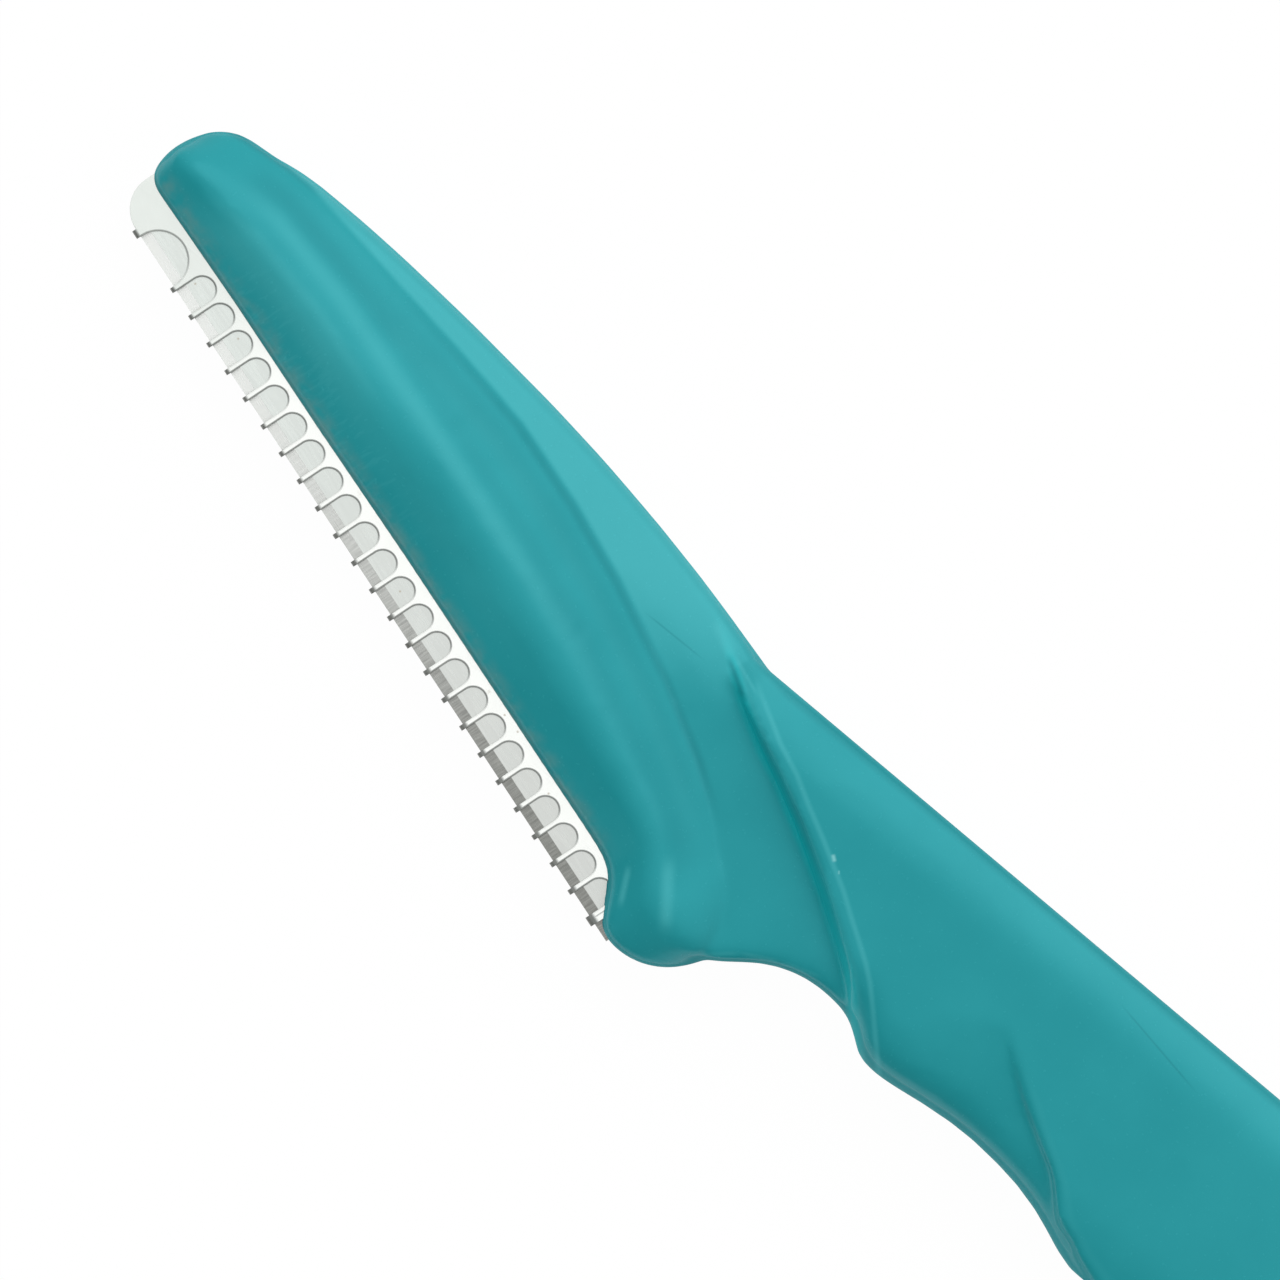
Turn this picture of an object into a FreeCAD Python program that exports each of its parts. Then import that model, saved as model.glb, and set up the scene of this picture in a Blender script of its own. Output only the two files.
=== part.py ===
import FreeCAD, Part
import math
import os

# An eyebrow razor lying flat: +X runs to the tail, +Y to the spine, and the cutting edge faces -Y.
# The origin is on the flat land of the back, on the axis of the grip.
# The front and the back are alike about the middle plane, where the blade lies.

# Whole razor
overallLength = 150.0
gripWidth = 9.5
gripThickness = 5.0

# Cutting edge: its first guard finger, seen from the origin, and its lean from the axis of the grip
headSetback = 11.46
headDrop = 5.86
bladeAngle = 16.5
headLength = 30.2

# Pod, the thick rib that holds the blade
podWidth = 6.0
podThickness = 4.2
podRound = 0.4
podOverlap = 0.3
bulbRadius = 2.9
bulbSetback = 1.85
bulbClearance = 0.02
tipLength = 1.75
tipWidth = 4.0
tipSetback = 0.1
tipDrift = 0.6

# Web, the thin plate from the pod to the spine, and the neck that carries it into the grip
notchSetback = 11.0
webLength = 27.6
webRise = 3.0
webThickness = 2.9
spineThickness = 1.8
spineRound = 0.45
neckThickness = 3.4
neckRound = 0.45
neckSetback = 8.6
neckLength = 9.6
neckWaist = 2.79

# Grip: flat lands, with a slanted band between each land and the side. The land bends softly into the band.
gripRound = 0.12
bandWidth = 1.65
bandSlant = 0.22
bandBend = 0.75
leafSetback = 13.5
leafRise = 11.5
scallopRise = 0.04
scallopEnd = 11.3
scallopDepth = 1.3
scallopRound = 1.7
firstStepSlant = 0.65
secondStepSlant = 0.3
scallopDrop = 0.45
tailWidth = 7.0
tailTaper = 75.0

# Blade, a ground strip of steel
bladeThickness = 0.15
bladeDepth = 3.4
bevelWidth = 0.4
edgeFlat = 0.01
bladeHeel = 2.2
bladeTipGap = 1.2

# Guard, a thin sheet folded round the cutting edge, with a window between each two fingers
sheetThickness = 0.08
foldClearance = 0.01
guardExposed = 1.6
guardDepth = 3.6
fingerPitch = 1.18
fingerWidth = 0.19
fingerCount = 23
windowDepth = 1.27
endWindowWidth = 2.15
endWindowDepth = 1.12
endFingerWidth = 0.37
guardTipRadius = 1.3
guardTipGap = 0.38

# Lock pins of the handle, which fill holes in the hidden part of the blade and the guard
pinCount = 2
pinDiameter = 1.2
pinMargin = 5.0
mouldClearance = 0.02

# How the surfaces are drawn: the rows of points along each body, and how full their ends are
smoothness = 3
podStations = 16
webStations = 24
scallopStations = 40
headSides = 6
foldSides = 4
innerSides = 2
halfTurn = 180
heelCrowding = 1.4
endFullness = 0.5
tipFullness = 0.7
mostRounded = 0.25

# How far a cut runs past what it cuts
overrun = 1.0

# Places that follow from the sizes above
midPlane = gripThickness / 2
lean = math.radians(bladeAngle)
tipMiddle = guardExposed - tipSetback + tipWidth / 2
tipReach = headSetback + headLength * math.cos(lean) - (tipMiddle - tipDrift) * math.sin(lean)
tailEnd = overallLength - tipReach
guardHeel = endFingerWidth + fingerPitch - fingerWidth / 2
guardTip = headLength - guardTipGap
bladeTip = guardTip - bladeTipGap
innerHalf = bladeThickness / 2 + foldClearance
outerHalf = innerHalf + sheetThickness
pinAcross = (guardExposed + guardDepth) / 2
pinPitch = (guardTip - 2 * pinMargin) / (pinCount - 1)

# The corner points that shape a rounded side: share of its reach inwards, share of the height of the face
roundShares = [(0.0, 0.0), (0.0, 0.5), (0.3, 0.92), (1.0, 1.0)]

# Across the pod, from the edge to the spine: share of its width, share of its height
crownShares = [(0.0, 0.62), (0.13, 0.8), (0.25, 0.95), (0.37, 1.03), (0.52, 0.98), (0.77, 0.76), (1.0, 0.54)]

# Along the pod, as shares of the head's length from its first finger to its tip
creaseShares = [
    (-0.061, 0.64), (-0.040, 0.69), (0.046, 0.815), (0.149, 0.917), (0.278, 0.99), (0.384, 1.02),
    (0.497, 1.015), (0.613, 0.937), (0.768, 0.81), (0.87, 0.73), (0.905, 0.68), (0.942, 0.61),
]
lipShares = [
    (-0.061, 0.02), (-0.05, 0.17), (-0.035, 0.4), (-0.018, 0.73), (-0.006, 1.0), (0.0, 1.06),
    (0.012, 1.05), (0.05, 1.02), (0.5, 1.0), (0.6, 0.955), (0.95, 0.94),
]
podRiseShares = [(0.0, 1.0), (0.5, 1.0), (0.8, 0.9), (1.0, 0.74)]
heelAngles = [86, 68, 50, 32, 15]
tipAngles = [15, 35, 52, 68, 86]

# Along the web from its notch, with the tip at -1
webStart = -0.953
webEnd = 0.46
spineShares = [
    (-0.953, 0.85), (-0.93, 0.955), (-0.9, 0.985), (-0.87, 0.99), (-0.797, 0.99), (-0.688, 0.955),
    (-0.543, 0.857), (-0.399, 0.723), (-0.254, 0.52), (-0.109, 0.247), (0.0, -0.01), (0.07, -0.133),
    (0.46, -0.25),
]
ridgeShares = [
    (-0.942, 0.5), (-0.75, 0.47), (-0.458, 0.45), (-0.23, 0.48), (-0.109, 0.58), (0.0, 0.66), (0.46, 0.9),
]
ridgeTopShares = [
    (-0.942, 0.66), (-0.86, 0.78), (-0.75, 0.842), (-0.585, 0.917), (-0.458, 0.99), (-0.342, 0.956),
    (-0.23, 0.885), (-0.167, 0.84), (-0.109, 0.82), (0.0, 0.87), (0.109, 0.92), (0.217, 0.98), (0.46, 1.24),
]
spineTopShares = [
    (-1.0, 0.9), (-0.86, 0.95), (-0.585, 0.94), (-0.458, 0.89), (-0.342, 0.82), (-0.23, 0.74), (-0.167, 0.74),
    (-0.109, 0.8), (-0.053, 0.98), (0.0, 1.25), (0.109, 1.48), (0.217, 1.58), (0.46, 2.0),
]
neckTopShares = [(0.0, 0.68), (0.109, 0.73), (0.217, 0.8), (0.326, 0.9), (0.46, 1.0)]
webRootShare = 0.4
neckFaceShares = [0.0, 0.4, 0.75]
webFaceShares = [0.3, 0.65, 1.0]

# Along the lower side of the neck, from the heel of the pod, at 0, to where the grip covers it, at 1
waistShares = [
    (-0.16, 0.24), (0.0, -0.55), (0.14, -0.84), (0.2, -0.87), (0.25, -0.79), (0.3, -0.57), (0.38, -0.29),
    (0.48, -0.12), (0.59, 0.0), (0.69, 0.02), (0.79, -0.03), (0.86, -0.12), (1.1, -0.14),
]

# Along the grip
leafTopShares = [
    (-0.1, 0.08), (0.0, 0.22), (0.09, 0.43), (0.2, 0.65), (0.45, 0.87), (0.75, 0.96), (1.0, 1.0),
    (1.1, 1.012),
]
barShares = [(0.0, 1.0), (0.09, 0.78), (0.18, 0.48), (0.27, 0.18), (0.36, 0.03), (0.65, 0.0), (1.0, 0.0)]
dropShares = [(-0.2, 0.0), (0.0, 0.0), (0.2, 0.32), (0.38, 0.8), (0.5, 0.97), (0.86, 1.0), (1.2, 1.0)]
scallopShares = [
    (-1.3, 1.6), (-0.2, 1.54), (-0.1, 1.42), (-0.035, 1.17), (0.0, 0.81), (0.045, 0.665), (0.1, 0.66),
    (0.27, 0.86), (0.44, 0.99), (0.62, 0.89), (0.8, 0.54), (0.885, 0.21), (1.0, -0.06), (1.2, -0.38),
]

# The two swept steps of the grip: where the middle of each wall lies in half the thickness, and the line of
# each, as shares of the leaf's setback or the scallop's end and of half the width
firstStepMiddleShare = 0.8
secondStepMiddleShare = 0.95
firstStepShares = [
    (-1.04, 1.24), (-0.926, 0.93), (-0.686, 0.53), (-0.497, 0.262), (-0.3, -0.078), (-0.133, -0.41),
    (-0.043, -0.645), (-0.012, -0.75), (0.005, -0.95), (0.015, -1.2),
]
secondStepShares = [
    (0.28, 0.2), (0.4, -0.057), (0.594, -0.36), (0.759, -0.594), (0.861, -0.787), (0.91, -0.82),
    (0.969, -0.885), (1.027, -0.93), (1.1, -0.97), (1.17, -1.0), (1.2, -1.1),
]


def follow(guide, place):
    # A smooth value through pairs of place and value, which never overshoots them.
    count = len(guide)
    if place <= guide[0][0]:
        return guide[0][1]
    if place >= guide[-1][0]:
        return guide[-1][1]
    slopes = [
        (after[1] - before[1]) / (after[0] - before[0])
        for before, after in zip(guide, guide[1:])
    ]
    turns = [slopes[0]]
    for before, after in zip(slopes, slopes[1:]):
        level = before * after <= 0
        turns.append(0 if level else 2 * before * after / (before + after))
    turns.append(slopes[-1])
    here = max(index for index in range(count - 1) if guide[index][0] <= place)
    span = guide[here + 1][0] - guide[here][0]
    part = (place - guide[here][0]) / span
    rest = 1 - part
    return (
        guide[here][1] * (1 + 2 * part) * rest**2
        + guide[here + 1][1] * (1 + 2 * rest) * part**2
        + span * turns[here] * part * rest**2
        - span * turns[here + 1] * rest * part**2
    )


def scaled(shares, length, height, start=0.0, base=0.0):
    # Turns a table of shares into places and values.
    return [(start + place * length, base + value * height) for place, value in shares]


def evenly(count, start, end):
    # Places from the start up to the end, which itself is left for the next stretch.
    return [start + index / count * (end - start) for index in range(count)]


def gripPlace(x):
    # A section plane across the grip: gives points from y and the height over the middle plane.
    return lambda y, z: FreeCAD.Vector(x, y, midPlane + z)


def headPoint(along, across, z):
    # A point from its distance along the edge to the tip, its distance behind the edge, and its height.
    return FreeCAD.Vector(
        -headSetback - along * math.cos(lean) + across * math.sin(lean),
        -headDrop + along * math.sin(lean) + across * math.cos(lean),
        midPlane + z,
    )


def headPlace(along):
    return lambda across, z: headPoint(along, across, z)


def line(start, end):
    return Part.LineSegment(start, end).toShape()


def arc(start, middle, end):
    return Part.Arc(start, middle, end).toShape()


def mirrored(shape):
    return shape.mirror(FreeCAD.Vector(0, 0, midPlane), FreeCAD.Vector(0, 0, 1))


def crossRow(place, low, high, lowReach, highReach, face):
    # A row of points over the upper face, from side to side. The face is a table of shares and heights.
    first = face[0][1]
    last = face[-1][1]
    lowReach = min(lowReach, mostRounded * (high - low))
    highReach = min(highReach, mostRounded * (high - low))
    flat = high - highReach - low - lowReach
    return (
        [place(low + lowReach * u, first * v) for u, v in roundShares[:-1]]
        + [place(low + lowReach + u * flat, z) for u, z in face]
        + [place(high - highReach * u, last * v) for u, v in reversed(roundShares[:-1])]
    )


def evenKnots(count):
    # Knots and their repeats for a smooth curve of this many points, which starts and ends on them.
    spans = count - smoothness
    return list(range(spans + 1)), [smoothness + 1] + [1] * (spans - 1) + [smoothness + 1]


def skin(rows):
    # A closed body alike on both faces, drawn over rows of points.
    uKnots, uRepeats = evenKnots(len(rows))
    vKnots, vRepeats = evenKnots(len(rows[0]))
    surface = Part.BSplineSurface()
    surface.buildFromPolesMultsKnots(
        rows, uRepeats, vRepeats, uKnots, vKnots, False, False, smoothness, smoothness,
    )
    upper = surface.toShape()
    faces = [upper, mirrored(upper)]
    for end in (uKnots[0], uKnots[-1]):
        rim = surface.uIso(end).toShape()
        faces.append(Part.Face(Part.Wire([rim, mirrored(rim)])))
    shell = Part.makeShell(faces)
    shell.sewShape()
    body = Part.Solid(shell)
    if body.Volume < 0:
        body.reverse()
    return body


def podRow(along, low, high, rise):
    top = podThickness / 2 * rise
    return crossRow(headPlace(along), low, high, podRound, podRound, scaled(crownShares, 1, top))


def makePod():
    crease = scaled(creaseShares, headLength, podWidth, base=guardExposed)
    lip = scaled(lipShares, headLength, guardExposed - bulbClearance, base=bulbClearance)
    rise = scaled(podRiseShares, headLength, 1)
    bulbCentre = bulbClearance + bulbRadius
    tipStart = headLength - tipLength
    rows = []
    for angle in heelAngles:
        turn = math.radians(angle)
        half = bulbRadius * math.cos(turn)
        along = -bulbSetback - bulbRadius * math.sin(turn)
        rows.append(podRow(along, bulbCentre - half, bulbCentre + half, math.cos(turn) ** endFullness))
    for share in evenly(podStations, 0, 1):
        along = -bulbSetback + share**heelCrowding * (tipStart + bulbSetback)
        high = follow(crease, along) + podOverlap
        rows.append(podRow(along, follow(lip, along), high, follow(rise, along)))
    for angle in tipAngles:
        turn = math.radians(angle)
        half = tipWidth / 2 * math.cos(turn) ** tipFullness
        along = tipStart + tipLength * math.sin(turn)
        middle = tipMiddle - tipDrift * math.sin(turn)
        top = follow(rise, along) * math.cos(turn) ** endFullness
        rows.append(podRow(along, middle - half, middle + half, top))
    return skin(rows)


def podMiddle(x):
    # The height of the line inside the pod where the web starts.
    across = guardExposed + webRootShare * podWidth
    along = (across * math.sin(lean) - headSetback - x) / math.cos(lean)
    return headPoint(along, across, 0).y


def foldedFace(ridge, lowTop, ridgeTop, spineTop):
    # Heights over the web: up to the ridge from its lower side, over it in a soft bend, and down to the spine.
    rising = [(u * ridge, lowTop + u * (ridgeTop - lowTop)) for u in neckFaceShares]
    falling = [(ridge + u * (1 - ridge), ridgeTop + u * (spineTop - ridgeTop)) for u in webFaceShares]
    return rising + falling


def makeWeb():
    notch = -notchSetback
    spine = scaled(spineShares, webLength, webRise, notch, gripWidth / 2)
    ridge = scaled(ridgeShares, webLength, 1, notch)
    ridgeTop = scaled(ridgeTopShares, webLength, webThickness / 2, notch)
    spineTop = scaled(spineTopShares, webLength, spineThickness / 2, notch)
    neckTop = scaled(neckTopShares, webLength, neckThickness / 2, notch)
    waist = scaled(waistShares, neckLength, neckWaist, -neckSetback, -neckWaist)
    start = notch + webStart * webLength
    end = notch + webEnd * webLength
    rows = []
    for x in evenly(webStations, start, end) + [end]:
        low = podMiddle(x) if x < waist[0][0] else follow(waist, x)
        face = foldedFace(follow(ridge, x), follow(neckTop, x), follow(ridgeTop, x), follow(spineTop, x))
        rows.append(crossRow(gripPlace(x), low, follow(spine, x), neckRound, spineRound, face))
    return skin(rows)


def gripHalf(x, half):
    # Half a section of the grip, on the spine side: land, soft bend, slanted band, rounded edge and side.
    place = gripPlace(x)
    tilt = math.atan(bandSlant)
    corner = gripThickness / 2 - bandSlant * bandWidth
    middle = (math.pi / 2 - tilt) / 2
    reach = gripRound * math.tan(middle)
    bend = bandBend * math.cos(tilt)
    sag = bandBend * math.tan(tilt / 4)
    spots = [
        (0, gripThickness / 2), (half - bandWidth - bandBend, gripThickness / 2),
        (half - bandWidth - sag * math.sin(tilt / 2), gripThickness / 2 - sag * math.cos(tilt / 2)),
        (half - bandWidth + bend, gripThickness / 2 - bandSlant * bend),
        (half - reach * math.cos(tilt), corner + reach * math.sin(tilt)),
        (half - gripRound + gripRound * math.cos(middle), corner - reach + gripRound * math.sin(middle)),
        (half, corner - reach),
    ]
    top = [place(y, z) for y, z in spots]
    low = [place(y, -z) for y, z in spots]
    return Part.Face(Part.Wire([
        line(top[0], top[1]), arc(top[1], top[2], top[3]), line(top[3], top[4]), arc(top[4], top[5], top[6]),
        line(top[6], low[6]), arc(low[6], low[5], low[4]), line(low[4], low[3]), arc(low[3], low[2], low[1]),
        line(low[1], low[0]), line(low[0], top[0]),
    ]))


def makeGripBar():
    # The spine half runs straight, tapers and turns round the tail. The other half mirrors it.
    start = -leafSetback
    taperStart = tailEnd - tailTaper
    roundStart = tailEnd - tailWidth / 2
    plain = gripHalf(start, gripWidth / 2).extrude(FreeCAD.Vector(taperStart - start, 0, 0))
    inward = FreeCAD.Vector(roundStart - taperStart, (tailWidth - gripWidth) / 2, 0)
    taper = gripHalf(taperStart, gripWidth / 2).extrude(inward)
    tail = gripHalf(roundStart, tailWidth / 2).revolve(
        FreeCAD.Vector(roundStart, 0, 0), FreeCAD.Vector(0, 0, -1), halfTurn,
    )
    halves = [plain, taper]
    halves += [half.mirror(FreeCAD.Vector(), FreeCAD.Vector(0, 1, 0)) for half in halves]
    bar = halves[0].fuse(halves[1:] + [tail]).removeSplitter()
    return bar.cut(makeLeafRamps())


def makeLeafRamp(slant, pivot):
    # What is cut off over the first leaf, which starts thin at the neck. The cut falls towards the spine
    # with this slant, from its full height at the pivot.
    half = gripThickness / 2
    rises = scaled(leafTopShares, leafRise, half, -leafSetback)
    lift = slant * (pivot + gripWidth)
    ramp = [FreeCAD.Vector(x, -gripWidth, midPlane + z + lift) for x, z in rises]
    curve = Part.BSplineCurve()
    curve.interpolate(ramp)
    top = gripThickness + overrun + lift
    high = [FreeCAD.Vector(ramp[-1].x, -gripWidth, top), FreeCAD.Vector(ramp[0].x, -gripWidth, top)]
    sides = [line(ramp[-1], high[0]), line(high[0], high[1]), line(high[1], ramp[0])]
    run = 2 * gripWidth
    return Part.Face(Part.Wire([curve.toShape()] + sides)).extrude(FreeCAD.Vector(0, run, -slant * run))


def makeLeafRamps():
    # The leaf's face bends towards the spine as the grip's does, in two flat steps, on both faces.
    corner = gripWidth / 2 - bandWidth
    upper = [
        makeLeafRamp(0, 0), makeLeafRamp(bandSlant / 2, corner - bandBend / 2), makeLeafRamp(bandSlant, corner),
    ]
    return upper + [mirrored(ramp) for ramp in upper]


def makeScallopBar():
    # A bar with the scalloped lower side of the first leaf. Its face falls away towards that side, and
    # all round else it is larger than the grip.
    low = scaled(scallopShares, scallopEnd, scallopDepth, 0, -gripWidth / 2)
    drop = scaled(dropShares, scallopEnd, scallopDrop)
    top = gripThickness / 2 + scallopRise
    start = low[0][0]
    end = low[-1][0]
    rows = []
    for x in evenly(scallopStations, start, end) + [end]:
        face = [(u, top + u * u * overrun - fall * follow(drop, x)) for u, fall in barShares]
        rows.append(crossRow(gripPlace(x), follow(low, x), gripWidth, scallopRound, overrun, face))
    return skin(rows)


def stepZone(shares, length, slant, middle):
    # The space on the head side of a swept step, on both faces. Its wall leans, and passes through the
    # given line at the middle of its height, which is a share of half the thickness.
    edge = scaled(shares, length, gripWidth / 2)
    top = gripThickness / 2 + overrun
    reach = top / (gripThickness / 2)
    left = -leafSetback - 2 * overrun
    bottom = -gripWidth / 2 - 2 * overrun

    def outline(z, shift):
        curve = Part.BSplineCurve()
        points = [FreeCAD.Vector(x - shift, y - shift, z) for x, y in edge]
        curve.interpolate(points)
        corners = [
            points[-1], FreeCAD.Vector(points[-1].x, bottom, z), FreeCAD.Vector(left, bottom, z),
            FreeCAD.Vector(left, points[0].y, z), points[0],
        ]
        sides = [line(a, b) for a, b in zip(corners, corners[1:])]
        return Part.Wire([curve.toShape()] + sides)

    low = outline(midPlane, slant * middle)
    high = outline(midPlane + top, slant * (middle - reach))
    upper = Part.makeLoft([low, high], True, True)
    return upper.fuse(mirrored(upper))


def makeGrip():
    first = stepZone(firstStepShares, leafSetback, firstStepSlant, firstStepMiddleShare)
    second = stepZone(secondStepShares, scallopEnd, secondStepSlant, secondStepMiddleShare)
    return makeGripBar().cut(second.cut(makeScallopBar())).cut(first)


def headPrism(points, low, high):
    # A prism through the thickness, from points given as distance along the edge and behind it.
    corners = [headPoint(along, across, low) for along, across in points]
    face = Part.Face(Part.makePolygon(corners + corners[:1]))
    return face.extrude(FreeCAD.Vector(0, 0, high - low))


def headBox(start, end, low, high, half):
    return headPrism([(start, low), (end, low), (end, high), (start, high)], -half, half)


def headRound(along, across, radius, half):
    return Part.makeCylinder(radius, 2 * half, headPoint(along, across, -half))


def headRun(start, end):
    return headPoint(end, 0, 0) - headPoint(start, 0, 0)


def pinRow(radius, half):
    return [headRound(pinMargin + index * pinPitch, pinAcross, radius, half) for index in range(pinCount)]


def makeBlade():
    half = bladeThickness / 2
    place = headPlace(-bladeHeel)
    profile = [
        place(0, edgeFlat / 2), place(bevelWidth, half), place(bladeDepth, half),
        place(bladeDepth, -half), place(bevelWidth, -half), place(0, -edgeFlat / 2),
    ]
    face = Part.Face(Part.makePolygon(profile + profile[:1]))
    strip = face.extrude(headRun(-bladeHeel, bladeTip))
    return strip.cut(pinRow(pinDiameter / 2 + mouldClearance, overrun))


def turned(radius, start, end, count):
    # Points on part of a circle, as offsets along it and across it.
    angles = [math.radians(start + index / count * (end - start)) for index in range(count + 1)]
    return [(radius * math.cos(angle), radius * math.sin(angle)) for angle in angles]


def makeWindow(middle, width, depth):
    # A window through both leaves and the fold, with a rounded head.
    radius = width / 2
    head = [(middle + u, depth - radius + v) for u, v in turned(radius, 0, halfTurn, headSides)]
    return headPrism([(middle - radius, -overrun), (middle + radius, -overrun)] + head, -overrun, overrun)


def makeGuard():
    place = headPlace(-guardHeel)
    outer = [place(-v, u) for u, v in turned(outerHalf, 0, halfTurn, foldSides)]
    inner = [place(-v, u) for u, v in turned(innerHalf, halfTurn, 0, innerSides)]
    profile = [place(guardDepth, outerHalf)] + outer + [place(guardDepth, -outerHalf)]
    profile += [place(guardDepth, -innerHalf)] + inner + [place(guardDepth, innerHalf)]
    sheet = Part.Face(Part.makePolygon(profile + profile[:1])).extrude(headRun(-guardHeel, guardTip))
    width = fingerPitch - fingerWidth
    windows = [makeWindow((index - 0.5) * fingerPitch, width, windowDepth) for index in range(fingerCount)]
    lastFinger = (fingerCount - 1) * fingerPitch + fingerWidth / 2
    windows.append(makeWindow(lastFinger + endWindowWidth / 2, endWindowWidth, endWindowDepth))
    corner = headBox(guardTip - guardTipRadius, guardTip + overrun, -overrun, guardTipRadius, overrun)
    corner = corner.cut(headRound(guardTip - guardTipRadius, guardTipRadius, guardTipRadius, overrun))
    return sheet.cut(windows + pinRow(pinDiameter / 2 + mouldClearance, overrun) + [corner])


def makeSlot():
    # The space that the moulding leaves for the guard, and beside it for the bare end of the blade.
    guardHalf = outerHalf + mouldClearance
    bladeHalf = bladeThickness / 2 + mouldClearance
    guardStart = -guardHeel - mouldClearance
    guardEnd = guardTip + mouldClearance
    guardSlot = headBox(guardStart, guardEnd, -overrun, guardDepth + mouldClearance, guardHalf)
    bladeSlot = headBox(-bladeHeel - mouldClearance, 0, -overrun, bladeDepth + mouldClearance, bladeHalf)
    return guardSlot.fuse(bladeSlot)


def makeHandle():
    head = makePod().fuse(makeWeb())
    moulding = head.fuse(makeGrip())
    return moulding.cut(makeSlot()).fuse(pinRow(pinDiameter / 2, outerHalf + 2 * mouldClearance))


def main():
    parts = {"handle": makeHandle(), "blade": makeBlade(), "guard": makeGuard()}
    os.makedirs("parts", exist_ok=True)
    for name, shape in parts.items():
        print(name, shape.isValid(), len(shape.Solids), round(shape.Volume, 3), shape.BoundBox)
        shape.exportStep("parts/" + name + ".step")


main()
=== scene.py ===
import bmesh
import bpy
import math
from mathutils import Matrix, Vector
from mathutils.kdtree import KDTree


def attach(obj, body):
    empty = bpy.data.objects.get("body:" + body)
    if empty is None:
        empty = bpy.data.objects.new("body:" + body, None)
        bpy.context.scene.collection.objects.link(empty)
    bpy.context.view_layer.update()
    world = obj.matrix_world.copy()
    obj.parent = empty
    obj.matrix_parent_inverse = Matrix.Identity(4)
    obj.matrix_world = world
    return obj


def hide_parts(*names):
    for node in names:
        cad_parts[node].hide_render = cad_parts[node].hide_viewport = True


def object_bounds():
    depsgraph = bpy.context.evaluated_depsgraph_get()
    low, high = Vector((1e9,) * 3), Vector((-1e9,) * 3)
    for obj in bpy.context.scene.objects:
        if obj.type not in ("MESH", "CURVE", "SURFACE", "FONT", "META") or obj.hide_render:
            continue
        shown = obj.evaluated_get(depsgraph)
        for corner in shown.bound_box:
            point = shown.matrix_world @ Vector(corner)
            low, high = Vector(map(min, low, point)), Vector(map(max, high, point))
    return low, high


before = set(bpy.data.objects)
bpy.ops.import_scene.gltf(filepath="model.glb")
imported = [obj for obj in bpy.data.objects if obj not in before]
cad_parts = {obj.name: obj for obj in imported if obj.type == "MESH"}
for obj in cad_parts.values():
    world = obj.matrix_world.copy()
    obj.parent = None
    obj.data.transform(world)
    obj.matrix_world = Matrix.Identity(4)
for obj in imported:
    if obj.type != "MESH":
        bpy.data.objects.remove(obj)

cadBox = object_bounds()
mm = 0.001
print("frame loaded")

# Where the cutting edge lies, in mm: its first finger from the origin, its lean, and the height of the blade
edge = {"setback": 11.46, "drop": 5.86, "lean": 16.5, "height": 2.5}


def headPoint(along, across, rise=0.0):
    # A place on the head, from mm towards the tip, mm behind the edge and mm over the blade
    lean = math.radians(edge["lean"])
    x = -edge["setback"] - along * math.cos(lean) + across * math.sin(lean)
    y = -edge["drop"] + along * math.sin(lean) + across * math.cos(lean)
    return Vector((x, y, edge["height"] + rise)) * mm


def headMatrix():
    origin = headPoint(0, 0)
    columns = [headPoint(1, 0) - origin, headPoint(0, 1) - origin, headPoint(0, 0, 1) - origin]
    return Matrix.Translation(origin) @ Matrix(columns).transposed().to_4x4()


def linkMesh(name, form):
    mesh = bpy.data.meshes.new(name)
    form.to_mesh(mesh)
    form.free()
    made = bpy.data.objects.new(name, mesh)
    bpy.context.scene.collection.objects.link(made)
    return made


def settle(piece):
    # Applies a piece's modifiers to its mesh
    graph = bpy.context.evaluated_depsgraph_get()
    finished = bpy.data.meshes.new_from_object(piece.evaluated_get(graph), depsgraph=graph)
    piece.modifiers.clear()
    piece.data = finished


def dress(piece, material, node):
    piece.data.materials.clear()
    piece.data.materials.append(material)
    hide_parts(node)
    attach(piece, "root")


def addNode(tree, kind, settings=None, **inputs):
    node = tree.nodes.new(kind)
    for name, value in (settings or {}).items():
        setattr(node, name, value)
    for name, value in inputs.items():
        node.inputs[name.replace("_", " ")].default_value = value
    return node


def feed(tree, socket, value):
    # Links a socket to another node's output, or sets it to a plain value
    if isinstance(value, bpy.types.NodeSocket):
        tree.links.new(value, socket)
    else:
        socket.default_value = value


def mathNode(tree, operation, *values):
    node = addNode(tree, "ShaderNodeMath", {"operation": operation})
    for socket, value in zip(node.inputs, values):
        feed(tree, socket, value)
    return node.outputs[0]


def ramp(tree, value, low, high, start=0.0, end=1.0):
    # Smooth step of a value, from start at low to end at high
    node = addNode(tree, "ShaderNodeMapRange", {"interpolation_type": "SMOOTHSTEP"})
    limits = {"Value": value, "From Min": low, "From Max": high, "To Min": start, "To Max": end}
    for name, limit in limits.items():
        feed(tree, node.inputs[name], limit)
    return node.outputs["Result"]


def mixColour(tree, share, first, second, blend="MIX"):
    node = addNode(tree, "ShaderNodeMix", {"data_type": "RGBA", "blend_type": blend})
    for index, value in ((0, share), (6, first), (7, second)):
        feed(tree, node.inputs[index], value)
    return node.outputs[2]


def splitAxes(tree, vector):
    node = tree.nodes.new("ShaderNodeSeparateXYZ")
    tree.links.new(vector, node.inputs["Vector"])
    return node.outputs


def stretched(tree, vector, scale):
    node = addNode(tree, "ShaderNodeMapping", Scale=scale)
    tree.links.new(vector, node.inputs["Vector"])
    return node.outputs["Vector"]


def laid(tree, vector, location, turn, scale):
    # A pattern's own axes, moved to a place, turned about the height and scaled there
    node = addNode(
        tree, "ShaderNodeMapping", {"vector_type": "TEXTURE"},
        Location=location, Rotation=(0.0, 0.0, turn), Scale=scale,
    )
    tree.links.new(vector, node.inputs["Vector"])
    return node.outputs["Vector"]


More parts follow.
